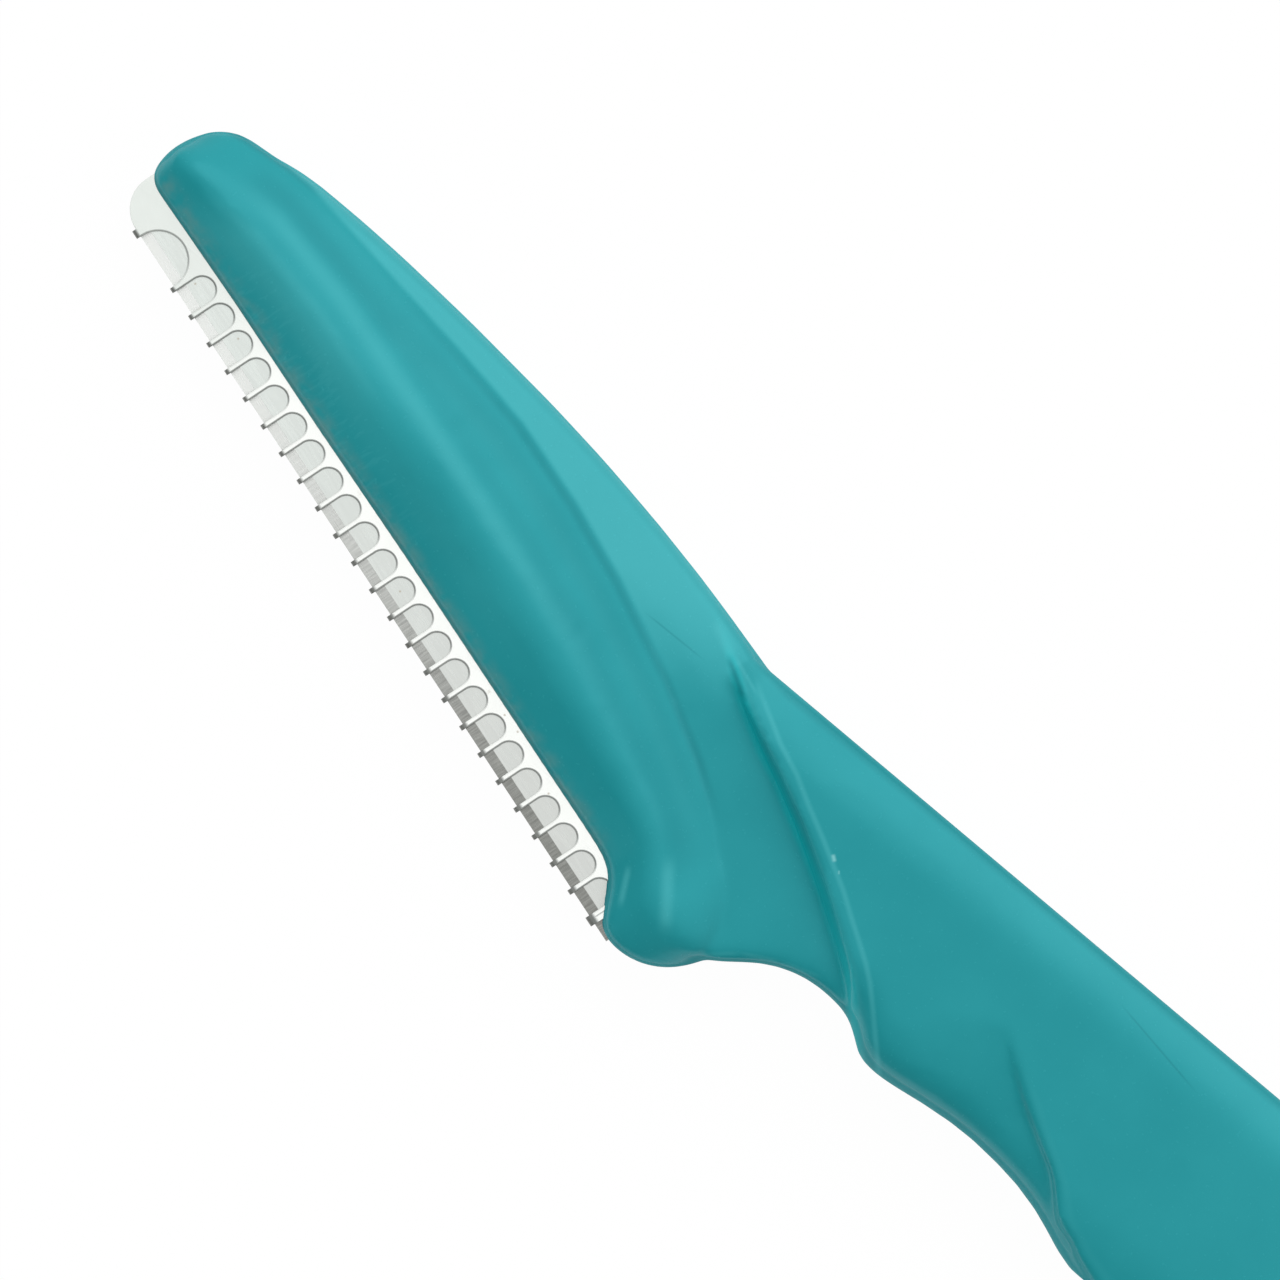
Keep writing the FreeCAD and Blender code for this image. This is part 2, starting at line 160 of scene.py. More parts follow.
def bell(tree, distance, middle, half):
    # 1 at the middle, and 0 from half a width away on
    offset = mathNode(tree, "ABSOLUTE", mathNode(tree, "SUBTRACT", distance, middle))
    return ramp(tree, offset, half, 0.0)


def fade(tree, axes, mask, limits):
    # Fades a mask out along the head. Each limit is an axis and the places in mm with nothing and with all.
    for axis, nothing, full in limits:
        mask = mathNode(tree, "MULTIPLY", mask, ramp(tree, axes[axis], nothing, full))
    return mask


def startGroup(name, inputs, outputs):
    group = bpy.data.node_groups.new(name, "ShaderNodeTree")
    for label, kind in inputs:
        group.interface.new_socket(name=label, in_out="INPUT", socket_type=kind)
    for label in outputs:
        group.interface.new_socket(name=label, in_out="OUTPUT", socket_type="NodeSocketFloat")
    source = group.nodes.new("NodeGroupInput")
    sink = group.nodes.new("NodeGroupOutput")
    return group, source.outputs, sink.inputs


def place(tree, group, **inputs):
    node = addNode(tree, "ShaderNodeGroup", {"node_tree": group})
    for name, value in inputs.items():
        feed(tree, node.inputs[name], value)
    return node.outputs


# Patterns that several materials share. The scratches' scales are for metres.
patterns = {
    "noiseSpread": (0.3, 0.7), "grainDetail": 4.0, "grainRoughness": 0.55,
    "scratchStretch": (300.0, 9000.0, 9000.0), "scratchDetail": 3.0, "scratchRoughness": 0.6,
    "scratchFrom": (0.56, 0.66), "placeScale": 420.0, "placeDetail": 2.0, "placeFrom": (0.45, 0.6),
}


def makeGrain():
    # Fine grain of a moulded or rolled skin: a height, and a mask of its high places
    group, source, sink = startGroup(
        "skinGrain", [("Vector", "NodeSocketVector"), ("Scale", "NodeSocketFloat")], ["Height", "Mask"],
    )
    noise = addNode(
        group, "ShaderNodeTexNoise", Detail=patterns["grainDetail"], Roughness=patterns["grainRoughness"],
    )
    group.links.new(source["Vector"], noise.inputs["Vector"])
    group.links.new(source["Scale"], noise.inputs["Scale"])
    group.links.new(noise.outputs["Fac"], sink["Height"])
    group.links.new(ramp(group, noise.outputs["Fac"], *patterns["noiseSpread"]), sink["Mask"])
    return group


def makeScratches():
    # Thin scratches that run one way, broken up so that only some places have them
    group, source, sink = startGroup(
        "hairScratches", [("Vector", "NodeSocketVector"), ("Density", "NodeSocketFloat")], ["Mask"],
    )
    streaks = addNode(
        group, "ShaderNodeTexNoise",
        Scale=1.0, Detail=patterns["scratchDetail"], Roughness=patterns["scratchRoughness"],
    )
    group.links.new(stretched(group, source["Vector"], patterns["scratchStretch"]), streaks.inputs["Vector"])
    places = addNode(
        group, "ShaderNodeTexNoise", Scale=patterns["placeScale"], Detail=patterns["placeDetail"],
    )
    group.links.new(source["Vector"], places.inputs["Vector"])
    line = ramp(group, streaks.outputs["Fac"], *patterns["scratchFrom"])
    spread = ramp(group, places.outputs["Fac"], *patterns["placeFrom"])
    where = mathNode(group, "MULTIPLY", spread, source["Density"])
    group.links.new(mathNode(group, "MULTIPLY", line, where), sink["Mask"])
    return group


def makeSteepSides():
    # A mask of the faces that look sideways: 0 where a normal's height is Level, and 1 where it is Steep
    group, source, sink = startGroup(
        "steepSides",
        [("Normal", "NodeSocketVector"), ("Level", "NodeSocketFloat"), ("Steep", "NodeSocketFloat")],
        ["Mask"],
    )
    height = mathNode(group, "ABSOLUTE", splitAxes(group, source["Normal"])["Z"])
    group.links.new(ramp(group, height, source["Level"], source["Steep"]), sink["Mask"])
    return group


grain = makeGrain()
scratches = makeScratches()
steepSides = makeSteepSides()


def noiseBetween(tree, vector, scale, low, high):
    # Grain as a value from low to high
    height = place(tree, grain, Vector=vector, Scale=scale)["Height"]
    return ramp(tree, height, *patterns["noiseSpread"], low, high)


def steepMask(tree, level, steep, share):
    # How far a face is a side, up to a share
    normal = tree.nodes.new("ShaderNodeNewGeometry").outputs["Normal"]
    sides = place(tree, steepSides, Normal=normal, Level=level, Steep=steep)["Mask"]
    return mathNode(tree, "MULTIPLY", sides, share)


def startMaterial(name, **shaderValues):
    # Gives a material with its tree, its shader's inputs, the object's own coordinates, and the head's axes in
    # mm, whole and split: X away from the tip, Y behind the edge, Z over the blade
    material = bpy.data.materials.new(name)
    material.use_nodes = True
    tree = material.node_tree
    shader = tree.nodes["Principled BSDF"]
    for label, value in shaderValues.items():
        shader.inputs[label.replace("_", " ")].default_value = value
    coords = tree.nodes.new("ShaderNodeTexCoord").outputs["Object"]
    head = laid(tree, coords, headPoint(0, 0), -math.radians(edge["lean"]), (mm, mm, mm))
    return material, tree, shader.inputs, coords, head, splitAxes(tree, head)


def bumpFrom(tree, shader, height, strength, distance, before=None):
    bump = addNode(tree, "ShaderNodeBump", Strength=strength, Distance=distance)
    tree.links.new(height, bump.inputs["Height"])
    if before is not None:
        tree.links.new(before, bump.inputs["Normal"])
    tree.links.new(bump.outputs["Normal"], shader["Normal"])
    return bump.outputs["Normal"]


# Lines on the flat faces of the handle, in mm: two on the head's own axes, the feet of the two swept steps,
# and the outline of the spine
headLines = {
    "podLine": [
        (-1.84, 5.44), (-1.21, 5.74), (1.39, 6.49), (4.5, 7.1), (8.4, 7.54), (11.6, 7.72), (15.0, 7.69),
        (18.5, 7.22), (23.2, 6.46), (26.3, 5.98), (27.3, 5.68), (28.4, 5.26),
    ],
    "crestLine": [
        (-1.6, 3.4), (-0.75, 3.83), (2.7, 4.53), (7.6, 4.93), (11.9, 4.96), (16.1, 4.96), (22.5, 4.8),
        (26.0, 4.44), (28.6, 3.8),
    ],
}
flatLines = {
    "firstStep": [
        (-12.5, 4.42), (-11.2, 3.45), (-9.4, 2.45), (-8.25, 1.98), (-7.25, 1.43), (-6.0, 0.8), (-4.35, -0.1),
        (-3.55, -0.63), (-2.75, -1.13), (-2.1, -1.55), (-1.55, -1.98), (-0.6, -2.9),
    ],
    "secondStep": [
        (3.7, 0.2), (4.28, -0.23), (4.7, -0.48), (5.5, -0.9), (6.25, -1.4), (7.0, -1.88), (8.6, -2.8),
        (9.7, -3.74), (11.0, -4.2), (13.0, -4.7),
    ],
    "spineRim": [
        (-37.0, 7.48), (-36.0, 7.6), (-34.0, 7.68), (-32.0, 7.64), (-30.0, 7.56), (-26.0, 7.28),
        (-22.0, 6.88), (-18.0, 6.28), (-14.0, 5.42), (-12.6, 5.1), (-12.0, 4.9), (-10.0, 4.67),
        (-4.0, 4.72), (30.0, 4.72),
    ],
}


def placeLines():
    # Each line as points in metres on the flat
    lines = {}
    for name, places in headLines.items():
        lines[name] = [headPoint(along, across).to_2d() for along, across in places]
    for name, places in flatLines.items():
        lines[name] = [Vector(spot) * mm for spot in places]
    return lines


# The moulding's tones are linear colours. Places, widths and lengths are in mm.
plastic = {
    "colour": (0.0165, 0.262, 0.290, 1.0),
    "deep": (0.0135, 0.245, 0.272, 1.0),
    # The darkest tone is painted shade in the creases, valleys and flanks and along the spine's rim, and also
    # the tone of thin dark scratches
    "crease": (0.004, 0.150, 0.170, 1.0),
    # The light tone after it is a painted highlight on ridges, the crest, the web, the bulb and the edge
    # bands, and also the tone of the feathered wear behind the lip
    "highlightAndWear": (0.060, 0.380, 0.410, 1.0),
    "grime": (0.110, 0.250, 0.240, 1.0),
    "pale": (0.22, 0.55, 0.56, 1.0),
    # This saturated tone is painted light that lightens the first step's shaded valley
    "valleyLight": (0.002, 0.400, 0.430, 1.0),
    "sheen": (0.25, 0.9, 1.0, 1.0),
    "refraction": 1.48,
    # Painted shade and painted highlights beside a line on the handle, where creases, ridges, the crest and
    # the rim lose or catch the light: which line, which fade, the middle and half width, strength and tone
    "lines": [
        ("firstStep", "firstStep", 0.6, 0.17, 0.45, "highlightAndWear"),
        ("firstStep", "firstStep", 0.1, 0.2, 0.2, "highlightAndWear"),
        ("firstStep", "firstStep", -0.12, 0.32, 0.65, "valleyLight"),
        ("spineRim", "spineRim", -0.1, 0.32, 0.6, "crease"),
        ("secondStep", "secondStep", 0.34, 0.24, 0.08, "highlightAndWear"),
        ("podLine", "podLine", 0.12, 0.3, 0.5, "crease"),
        ("podLine", "podLine", 1.1, 0.5, 0.1, "highlightAndWear"),
        ("podLine", "podFlank", 0.9, 0.9, 0.27, "crease"),
        ("crestLine", "heelCrest", -0.3, 0.9, 0.3, "crease"),
        ("crestLine", "crest", 0.0, 0.55, 0.33, "highlightAndWear"),
        ("crestLine", "crest", -0.75, 0.5, 0.16, "crease"),
        ("crestLine", "crest", 1.8, 1.2, 0.15, "highlightAndWear"),
        ("crestLine", "tipCrest", 1.0, 0.35, 0.25, "highlightAndWear"),
        ("crestLine", "tipCrest", 1.5, 1.0, 0.3, "highlightAndWear"),
    ],
    # Where they fade out on the head's axes: the axis, and the places with nothing and with all
    "fades": {
        "firstStep": [("Y", 9.9, 9.3)],
        "secondStep": [("Y", 10.1, 9.7)],
        "spineRim": [("Y", 0.0, 1.0)],
        "podLine": [("X", 1.2, -1.5), ("X", -24.0, -13.0)],
        "podFlank": [("X", 1.2, -1.5), ("X", -28.4, -27.0)],
        "heelCrest": [("X", 2.0, 0.0), ("X", -14.0, -8.0)],
        "crest": [("X", -3.0, -14.0), ("X", -28.6, -25.0)],
        "tipCrest": [("X", -17.0, -21.0), ("X", -28.6, -26.0)],
    },
    # Painted highlight on the web, where its facet catches the light: its strength, its start beside the pod's
    # line, and the places with nothing and with all, along the head and behind the edge added up
    "paintedLight": 0.57, "paintedLightBeside": (0.0, -0.25), "paintedLightFrom": (10.0, 17.0),
    # Short marks on the flat, mostly painted highlights and painted shade beside ridges, creases and edges,
    # and some thin dark scratches and small pale specks: both ends and half width, strength and tone
    "strokes": [
        (-9.58, -2.71, -7.97, -4.84, 0.4, 0.5, "highlightAndWear"), (-10.49, -3.86, -9.79, -5.19, 0.2, 0.6, "highlightAndWear"),
        (-13.8, 4.87, -12.4, 4.27, 0.35, 0.45, "highlightAndWear"), (-12.6, 4.18, -11.1, 3.36, 0.2, 0.75, "crease"),
        (-12.4, 4.34, -10.9, 3.8, 0.12, 0.4, "highlightAndWear"), (-5.17, 1.17, -4.94, 1.0, 0.12, 0.75, "pale"),
        (-4.63, 0.87, -4.54, 0.75, 0.06, 0.5, "pale"), (-15.81, 3.48, -13.23, 3.53, 0.06, 0.4, "crease"),
        (-5.0, 4.3, 30.0, 4.3, 1.0, 0.12, "highlightAndWear"), (6.25, 3.69, 10.18, 3.04, 0.06, 0.5, "crease"),
        (-6.47, -4.66, -5.42, -3.7, 0.13, 0.25, "highlightAndWear"), (-5.42, -3.7, -4.13, -2.99, 0.13, 0.3, "highlightAndWear"),
        (-4.13, -2.99, -2.66, -2.5, 0.13, 0.25, "highlightAndWear"),
    ],
    # How softly a mark starts and ends, in shares of its length
    "strokeStart": (-0.1, 0.25), "strokeEnd": (1.1, 0.75),
    # Fine feathered marks behind the lip, in the half towards the tip
    "feathers": 0.17, "featherStretch": (7.0, 1.4, 1.4), "featherFrom": (0.52, 0.62),
    "featherFades": [("Y", 3.4, 2.6), ("X", -12.0, -17.0), ("X", -27.0, -24.0)],
    # Dirt held along the lip, where the steel comes out of the moulding
    "dirt": 0.6, "dirtFades": [("Y", 2.4, 1.7), ("X", 0.2, -1.5)],
    # Scales of the grain, for metres
    "cloudScale": 260.0, "dirtScale": 1500.0, "fineScale": 5200.0, "waveScale": 330.0,
    # The mould's parting sides are duller than the faces
    "roughness": (0.235, 0.275), "sideRoughness": 0.75, "sideFrom": (0.6, 0.35),
    # Strength and height in metres of each bump
    "waveBump": (0.12, 0.00006), "fineBump": (0.05, 0.000006), "scratchBump": (0.12, 0.00001),
    "scratched": 0.6,
}


def stroke(tree, vector, ends, half):
    # A mask along a straight mark on the flat, with soft sides and ends
    startX, startY, endX, endY = ends
    length = math.hypot(endX - startX, endY - startY)
    turn = math.atan2(endY - startY, endX - startX)
    start = (startX * mm, startY * mm, 0.0)
    own = splitAxes(tree, laid(tree, vector, start, turn, (length * mm, half * mm, mm)))
    beside = ramp(tree, mathNode(tree, "ABSOLUTE", own["Y"]), 1.0, 0.0)
    started = ramp(tree, own["X"], *plastic["strokeStart"])
    within = mathNode(tree, "MULTIPLY", started, ramp(tree, own["X"], *plastic["strokeEnd"]))
    return mathNode(tree, "MULTIPLY", beside, within)


def makePlastic():
    material, tree, shader, coords, head, axes = startMaterial(
        "turquoiseMoulding", IOR=plastic["refraction"], Specular_Tint=plastic["sheen"],
    )
    cloud = place(tree, grain, Vector=coords, Scale=plastic["cloudScale"])["Mask"]
    colour = mixColour(tree, cloud, plastic["deep"], plastic["colour"])

    marked = {}
    for name in (*headLines, *flatLines):
        marked[name] = addNode(tree, "ShaderNodeAttribute", {"attribute_name": name}).outputs["Fac"]
    # Painted shade and painted highlights along the creases, ridges, crest and rim
    for line, fading, middle, half, strength, tone in plastic["lines"]:
        share = mathNode(tree, "MULTIPLY", bell(tree, marked[line], middle, half), strength)
        share = fade(tree, axes, share, plastic["fades"][fading])
        colour = mixColour(tree, share, colour, plastic[tone])

    # Painted highlight over the web's facet
    slanted = mathNode(tree, "SUBTRACT", axes["Y"], axes["X"])
    paintedLight = ramp(tree, slanted, *plastic["paintedLightFrom"], 0.0, plastic["paintedLight"])
    paintedLight = mathNode(tree, "MULTIPLY", paintedLight, ramp(tree, marked["podLine"], *plastic["paintedLightBeside"]))
    colour = mixColour(tree, paintedLight, colour, plastic["highlightAndWear"])
    # Short painted highlights and painted shade, and a few dark scratches and pale specks
    for *ends, half, strength, tone in plastic["strokes"]:
        mark = mathNode(tree, "MULTIPLY", stroke(tree, coords, ends, half), strength)
        colour = mixColour(tree, mark, colour, plastic[tone])

    hairs = place(tree, grain, Vector=stretched(tree, head, plastic["featherStretch"]), Scale=1.0)["Height"]
    feathers = ramp(tree, hairs, *plastic["featherFrom"], 0.0, plastic["feathers"])
    colour = mixColour(tree, fade(tree, axes, feathers, plastic["featherFades"]), colour, plastic["highlightAndWear"])
    dirt = place(tree, grain, Vector=coords, Scale=plastic["dirtScale"])["Mask"]
    dirt = mathNode(tree, "MULTIPLY", fade(tree, axes, dirt, plastic["dirtFades"]), plastic["dirt"])
    tree.links.new(mixColour(tree, dirt, colour, plastic["grime"]), shader["Base Color"])

    rough = noiseBetween(tree, coords, plastic["fineScale"], *plastic["roughness"])
    sides = steepMask(tree, *plastic["sideFrom"], plastic["sideRoughness"])
    tree.links.new(mathNode(tree, "MAXIMUM", rough, sides), shader["Roughness"])
    wave = place(tree, grain, Vector=coords, Scale=plastic["waveScale"])["Height"]
    fine = place(tree, grain, Vector=coords, Scale=plastic["fineScale"])["Height"]
    marks = place(tree, scratches, Vector=coords, Density=plastic["scratched"])["Mask"]
    normal = bumpFrom(tree, shader, wave, *plastic["waveBump"])
    normal = bumpFrom(tree, shader, fine, *plastic["fineBump"], normal)
    bumpFrom(tree, shader, marks, *plastic["scratchBump"], normal)
    return material


# The slot that the moulding leaves for the steel is closed in the visible handle. Its skin is evened out all
# over, and then once more, strongly, away from the creases and off the steep sides. Each stretch of the tail,
# up to its place, is drawn together by its own factor meanwhile, so that it takes few faces. All in mm.
handle = {
    "slotHalf": (0.185, 0.095), "tolerance": 0.0005, "voxel": 0.136, "smoothing": 0.5, "passes": 4,
    "furtherPasses": 12, "creaseNear": 0.2, "creaseFar": 0.75, "creaseStep": 0.1,
    "creases": ("podLine", "firstStep", "secondStep"), "steep": 0.72, "level": 0.84, "lineReach": 3.5,
    "tailStart": 13.0, "tail": [(98.0, 20.0), (130.0, 2.0)],
}


def squashTail(mesh, back):
    # Draws the straight tail together, or draws it out again
    long = [handle["tailStart"] * mm]
    short = [handle["tailStart"] * mm]
    for end, factor in handle["tail"]:
        short.append(short[-1] + (end * mm - long[-1]) / factor)
        long.append(end * mm)
    source, target = (short, long) if back else (long, short)
    for vert in mesh.vertices:
        for index in range(len(source) - 1):
            if source[index] < vert.co.x <= source[index + 1]:
                share = (vert.co.x - source[index]) / (source[index + 1] - source[index])
                vert.co.x = target[index] + share * (target[index + 1] - target[index])
                break


def walkAlong(line):
    # Points close together along a line, each with the direction of the line there
    steps = []
    for start, end in zip(line, line[1:]):
        count = math.ceil((end - start).length / (handle["creaseStep"] * mm))
        direction = (end - start).normalized()
        steps += [(start.lerp(end, index / count), direction) for index in range(count)]
    return steps + [(line[-1], (line[-1] - line[-2]).normalized())]


def plantTree(points):
    tree = KDTree(len(points))
    for index, point in enumerate(points):
        tree.insert((point.x, point.y, 0.0), index)
    tree.balance()
    return tree


def markLines(piece):
    # The flat distance from each line in mm, positive on its left, goes to the surface as an attribute
    far = handle["lineReach"]
    for name, line in placeLines().items():
        steps = walkAlong(line)
        tree = plantTree([point for point, direction in steps])
        values = []
        for vert in piece.data.vertices:
            index = tree.find((vert.co.x, vert.co.y, 0.0))[1]
            point, direction = steps[index]
            offset = vert.co.to_2d() - point
            aside = direction.x * offset.y - direction.y * offset.x
            values.append(max(-far, min(far, aside / mm)))
        piece.data.attributes.new(name, "FLOAT", "POINT").data.foreach_set("value", values)


def markSmoothParts(piece):
    # A weight of 0 at a crease, which rises to 1 away from all of them. Only the flat distance counts. Steep
    # sides have 0 too, so that the outline stays.
    lines = placeLines()
    tree = plantTree([point for name in handle["creases"] for point, direction in walkAlong(lines[name])])
    group = piece.vertex_groups.new(name="awayFromCreases")
    near = handle["creaseNear"] * mm
    far = handle["creaseFar"] * mm
    for vert in piece.data.vertices:
        distance = tree.find((vert.co.x, vert.co.y, 0.0))[2]
        away = max(0.0, min(1.0, (distance - near) / (far - near)))
        flatness = (abs(vert.normal.z) - handle["steep"]) / (handle["level"] - handle["steep"])
        group.add([vert.index], away * max(0.0, min(1.0, flatness)), "REPLACE")
    return group.name


def closeSlot(form):
    # Takes the slot's two walls out and joins its lips
    tolerance = handle["tolerance"]

    def inSlot(vert):
        height = abs(vert.co.z / mm - edge["height"])
        return any(abs(height - half) < tolerance for half in handle["slotHalf"])

    walls = [face for face in form.faces if all(inSlot(vert) for vert in face.verts)]
    bmesh.ops.delete(form, geom=walls, context="FACES")
    rim = [side for side in form.edges if side.is_boundary]
    lips = [side for side in rim if abs(side.verts[0].co.z - side.verts[1].co.z) < tolerance * mm]
    bmesh.ops.bridge_loops(form, edges=lips)
    rest = [side for side in form.edges if side.is_boundary]
    bmesh.ops.holes_fill(form, edges=rest, sides=0)
    bmesh.ops.triangulate(form, faces=[face for face in form.faces if len(face.verts) > 4])
    bmesh.ops.recalc_face_normals(form, faces=form.faces)
    print("slot closed", len(rim), len(lips), len(rest))


def makeHandle():
    form = bmesh.new()
    form.from_mesh(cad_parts["handle"].data)
    bmesh.ops.remove_doubles(form, verts=form.verts, dist=handle["tolerance"] * mm)
    closeSlot(form)
    piece = linkMesh("handleMoulding", form)
    squashTail(piece.data, False)
    remesh = piece.modifiers.new("evenSkin", "REMESH")
    remesh.mode = "VOXEL"
    remesh.voxel_size = handle["voxel"] * mm
    smooth = piece.modifiers.new("softCreases", "SMOOTH")
    smooth.factor = handle["smoothing"]
    smooth.iterations = handle["passes"]
    settle(piece)
    further = piece.modifiers.new("softFaces", "SMOOTH")
    further.factor = handle["smoothing"]
    further.iterations = handle["furtherPasses"]
    further.vertex_group = markSmoothParts(piece)
    settle(piece)
    squashTail(piece.data, True)
    # Evening out leaves the flat faces a hair outside the solid's own height, so they are brought back
    for vert in piece.data.vertices:
        vert.co.z = max(cadBox[0][2], min(cadBox[1][2], vert.co.z))
    piece.data.shade_smooth()
    markLines(piece)
    dress(piece, makePlastic(), "handle")
    return piece


handlePiece = makeHandle()
print("handle made", len(handlePiece.data.polygons))

# The guard in mm, with the same sizes as its solid
guard = {
    "thickness": 0.08, "outerHalf": 0.165, "depth": 3.6, "heel": -1.455, "tip": 29.82,
    "pitch": 1.18, "finger": 0.19, "count": 23, "windowDepth": 1.27,
    "endWidth": 2.15, "endDepth": 1.12, "tipRadius": 1.3,
    "overrun": 1.0, "foldSteps": 12, "archSteps": 14, "cornerSteps": 10, "merge": 1e-6,
    "burr": 0.03, "burrSegments": 2, "burrAngle": 50.0, "flat": 0.999,
}

# What the two steels share. Places and widths are in mm, the specks' as along the edge and behind it.
steel = {
    "dull": 0.975,
    # The dark tone is painted shade, for the windows' shadows, the folded finger ends and the cut walls
    "dark": (0.055, 0.060, 0.050, 1.0),
    "stain": (0.42, 0.36, 0.27, 1.0),
    "specks": [(6.61, 1.44), (5.85, 1.5), (3.38, 1.2), (25.7, 0.7), (23.2, 0.9), (12.4, 0.75)],
    "speckSize": 0.07, "speckStrength": 0.7,
    # Painted shadow round a window: its middle outside the outline, half width, and its least and most
    # strength
    "outline": (0.02, 0.055), "outlineShade": (0.12, 0.85),
    # It is weakest at a window's heel side, and has all its strength from this share of the half width on.
    # The round head counts as the tip side by the slant.
    "outlineReach": 0.4, "outlineSlant": 0.7,
    # Where the row of windows starts, where it ends after the last finger, and how strong the wide one is
    "rowStart": (-1.3, -1.2), "rowEnd": (0.06, -0.01), "wideShade": 0.8,
}


def makeWindowShadow():
    # A mask of painted shadow round the windows from the head's axes in mm, strongest on each window's tip
    # side and round head
    group, source, sink = startGroup("windowShadow", [("Vector", "NodeSocketVector")], ["Mask"])
    axes = splitAxes(group, source["Vector"])
    along = mathNode(group, "MULTIPLY", axes["X"], -1.0)

    def outline(local, depth, width):
        radius = width / 2
        above = mathNode(group, "MAXIMUM", mathNode(group, "SUBTRACT", axes["Y"], depth - radius), 0.0)
        wide = mathNode(group, "MULTIPLY", local, local)
        squares = mathNode(group, "ADD", wide, mathNode(group, "MULTIPLY", above, above))
        reach = mathNode(group, "SUBTRACT", mathNode(group, "SQRT", squares), radius)
        side = mathNode(group, "ADD", local, mathNode(group, "MULTIPLY", above, steel["outlineSlant"]))
        shade = ramp(group, side, -radius, steel["outlineReach"] * radius, *steel["outlineShade"])
        return mathNode(group, "MULTIPLY", bell(group, reach, *steel["outline"]), shade)

    turns = mathNode(group, "ADD", mathNode(group, "DIVIDE", along, guard["pitch"]), 1.0)
    share = mathNode(group, "SUBTRACT", mathNode(group, "FRACT", turns), 0.5)
    local = mathNode(group, "MULTIPLY", share, guard["pitch"])
    ends = (guard["count"] - 1) * guard["pitch"]
    past, before = steel["rowEnd"]
    ended = ramp(group, along, ends + past, ends + before)
    row = mathNode(group, "MULTIPLY", ended, ramp(group, along, *steel["rowStart"]))
    narrow = outline(local, guard["windowDepth"], guard["pitch"] - guard["finger"])
    narrow = mathNode(group, "MULTIPLY", narrow, row)
    wideLocal = mathNode(group, "SUBTRACT", along, ends + (guard["finger"] + guard["endWidth"]) / 2)
    wide = outline(wideLocal, guard["endDepth"], guard["endWidth"])
    wide = mathNode(group, "MULTIPLY", wide, ramp(group, along, ends, ends + past, 0.0, steel["wideShade"]))
    group.links.new(mathNode(group, "MAXIMUM", narrow, wide), sink["Mask"])
    return group


def makeSpecks():
    # A mask of small specks at places on the head's own axes, through the whole thickness
    group, source, sink = startGroup("brownSpecks", [("Vector", "NodeSocketVector")], ["Mask"])
    flat = addNode(group, "ShaderNodeVectorMath", {"operation": "MULTIPLY"})
    flat.inputs[1].default_value = (1.0, 1.0, 0.0)
    group.links.new(source["Vector"], flat.inputs[0])
    spots = 0.0
    for along, behind in steel["specks"]:
        near = addNode(group, "ShaderNodeVectorMath", {"operation": "DISTANCE"})
        near.inputs[1].default_value = (-along, behind, 0.0)
        group.links.new(flat.outputs["Vector"], near.inputs[0])
        spot = ramp(group, near.outputs["Value"], steel["speckSize"], 0.0, 0.0, steel["speckStrength"])
        spots = mathNode(group, "MAXIMUM", spot, spots)
    group.links.new(spots, sink["Mask"])
    return group


windowShadow = makeWindowShadow()
brownSpecks = makeSpecks()

# The guard's finish, from the heel to the tip. Places are in mm on the head's axes, and the scales are for mm.
guardSteel = {
    "heel": (0.93, 0.95, 0.92, 1.0), "tip": (0.75, 0.79, 0.755, 1.0), "tone": (-20.0, -27.0),
    "patchScale": 1.3, "stainScale": 0.9, "stainFrom": (0.64, 0.72), "stainStrength": 0.3, "fineScale": 9.0,
    # The folded ends of the fingers get painted shade up to here, at the heel and at the tip
    "hookAlong": (-2.0, -26.0), "hookDepth": (0.14, -0.02), "hookSoft": 0.08, "hookShade": 0.85,
    "wallFrom": (0.97, 0.6), "wallShade": 0.45, "roughness": (0.13, 0.19),
    "fineBump": (0.08, 0.000004), "scratchBump": (0.2, 0.000004), "scratched": 0.8,
}


